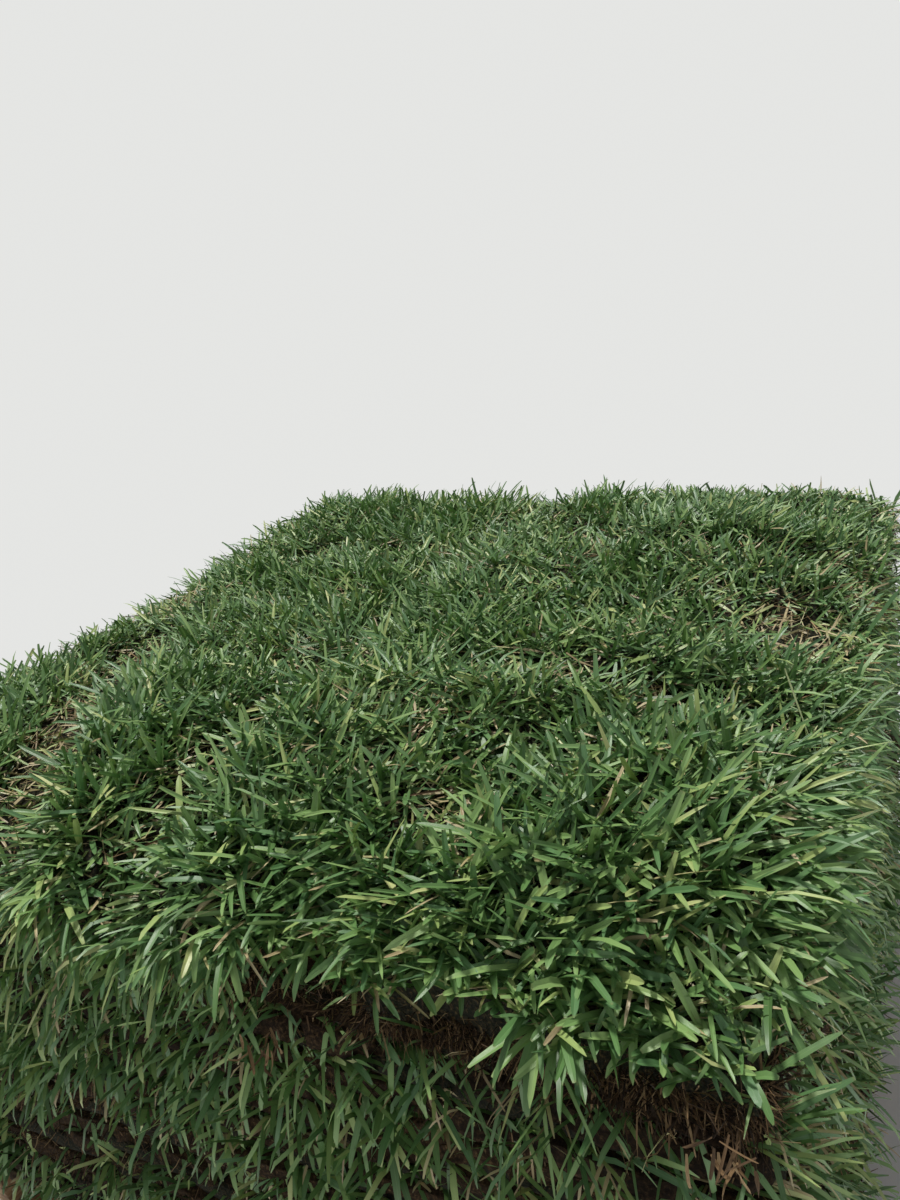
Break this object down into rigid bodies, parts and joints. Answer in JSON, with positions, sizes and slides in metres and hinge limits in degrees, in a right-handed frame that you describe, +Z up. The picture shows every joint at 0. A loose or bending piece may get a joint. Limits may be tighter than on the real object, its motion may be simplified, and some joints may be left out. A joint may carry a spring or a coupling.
{
  "type": "pallet stack of turf slabs",
  "caption": "Square stack of cut turf slabs, grass side up and laid crosswise in crowned layers, on a wooden pallet with fork pockets.",
  "frame": {"origin": "middle of the pallet's underside, on the floor", "axes": "+Z up, +X to the right along the near side, +Y away from the near side, along the stringers"},
  "size_m": [1.281, 1.2798, 0.827],
  "materials": {
    "turf_grass": "broad flat mown blades, waxy, mid to dark green with some tan dead blades",
    "turf_soil": "dark crumbly soil bound by brown roots and thatch",
    "pallet_wood": "rough-sawn softwood, weathered"
  },
  "bodies": {
    "root": {"grass_layer_01": "turf_grass", "grass_layer_02": "turf_grass", "grass_layer_03": "turf_grass", "grass_layer_04": "turf_grass", "grass_layer_05": "turf_grass", "grass_layer_06": "turf_grass", "grass_layer_07": "turf_grass", "grass_layer_08": "turf_grass", "grass_layer_09": "turf_grass", "grass_layer_10": "turf_grass", "grass_layer_11": "turf_grass", "grass_layer_12": "turf_grass", "grass_layer_13": "turf_grass", "pallet_base_board_1": "pallet_wood", "pallet_base_board_2": "pallet_wood", "pallet_base_board_3": "pallet_wood", "pallet_deck_board_1": "pallet_wood", "pallet_deck_board_2": "pallet_wood", "pallet_deck_board_3": "pallet_wood", "pallet_deck_board_4": "pallet_wood", "pallet_deck_board_5": "pallet_wood", "pallet_deck_board_6": "pallet_wood", "pallet_deck_board_7": "pallet_wood", "pallet_stringer_1": "pallet_wood", "pallet_stringer_2": "pallet_wood", "pallet_stringer_3": "pallet_wood", "soil_layer_01": "turf_soil", "soil_layer_02": "turf_soil", "soil_layer_03": "turf_soil", "soil_layer_04": "turf_soil", "soil_layer_05": "turf_soil", "soil_layer_06": "turf_soil", "soil_layer_07": "turf_soil", "soil_layer_08": "turf_soil", "soil_layer_09": "turf_soil", "soil_layer_10": "turf_soil", "soil_layer_11": "turf_soil", "soil_layer_12": "turf_soil", "soil_layer_13": "turf_soil", "top_slab_1_grass": "turf_grass", "top_slab_1_soil": "turf_soil", "top_slab_2_grass": "turf_grass", "top_slab_2_soil": "turf_soil", "top_slab_3_grass": "turf_grass", "top_slab_3_soil": "turf_soil", "top_slab_4_grass": "turf_grass", "top_slab_4_soil": "turf_soil", "top_slab_5_grass": "turf_grass", "top_slab_5_soil": "turf_soil", "top_slab_6_grass": "turf_grass", "top_slab_6_soil": "turf_soil"}
  },
  "joints": []
}
